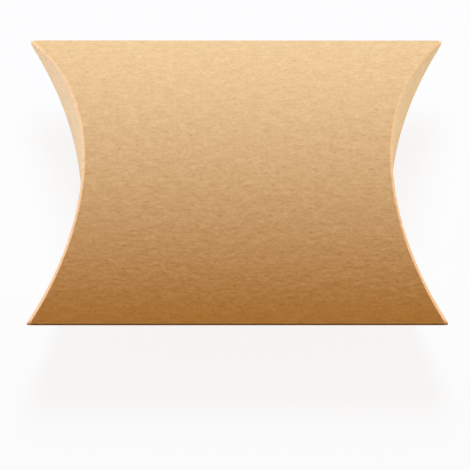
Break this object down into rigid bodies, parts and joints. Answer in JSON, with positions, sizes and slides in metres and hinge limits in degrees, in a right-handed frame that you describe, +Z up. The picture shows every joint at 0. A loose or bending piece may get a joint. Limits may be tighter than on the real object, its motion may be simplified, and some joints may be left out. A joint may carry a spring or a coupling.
{
  "type": "pillow box",
  "caption": "Kraft card pillow box: two arched panels folded from one sheet, a glued side seam, and curved end flaps that hinge on their creases.",
  "frame": {"origin": "under the middle of the box, at the lowest line of the belly that it lies on", "axes": "+X along the length from end flap to end flap, +Y across the width away from the glued seam, +Z up through the thickness to the top panel"},
  "size_m": [0.0882, 0.0649, 0.025],
  "materials": {
    "kraft_board": "matte",
    "seam_glue": "matte"
  },
  "bodies": {
    "tube": {"top_panel": "kraft_board", "bottom_panel": "kraft_board", "long_fold": "kraft_board", "seam_fold": "kraft_board", "glue_flap": "kraft_board", "seam_glue": "seam_glue", "left_top_crease": "kraft_board", "right_top_crease": "kraft_board", "left_bottom_crease": "kraft_board", "right_bottom_crease": "kraft_board"},
    "left_outer_flap": {"left_outer_flap": "kraft_board"},
    "right_outer_flap": {"right_outer_flap": "kraft_board"},
    "left_inner_flap": {"left_inner_flap": "kraft_board"},
    "right_inner_flap": {"right_inner_flap": "kraft_board"}
  },
  "joints": [
    {"name": "left_outer_flap_hinge", "type": "hinge", "parent": "tube", "child": "left_outer_flap", "pos_m": [-0.0325, 0, 0.0239], "axis": [0, 1, 0], "range_deg": [0, 90]},
    {"name": "right_outer_flap_hinge", "type": "hinge", "parent": "tube", "child": "right_outer_flap", "pos_m": [0.0325, 0, 0.0239], "axis": [0, -1, 0], "range_deg": [0, 90]},
    {"name": "left_inner_flap_hinge", "type": "hinge", "parent": "tube", "child": "left_inner_flap", "pos_m": [-0.0319, 0, 0.0011], "axis": [0, -1, 0], "range_deg": [0, 45]},
    {"name": "right_inner_flap_hinge", "type": "hinge", "parent": "tube", "child": "right_inner_flap", "pos_m": [0.0319, 0, 0.0011], "axis": [0, 1, 0], "range_deg": [0, 45]}
  ],
  "couplings": [
    {"joint": "left_inner_flap_hinge", "follows": "left_outer_flap_hinge", "ratio": 0.5},
    {"joint": "right_inner_flap_hinge", "follows": "right_outer_flap_hinge", "ratio": 0.5}
  ]
}
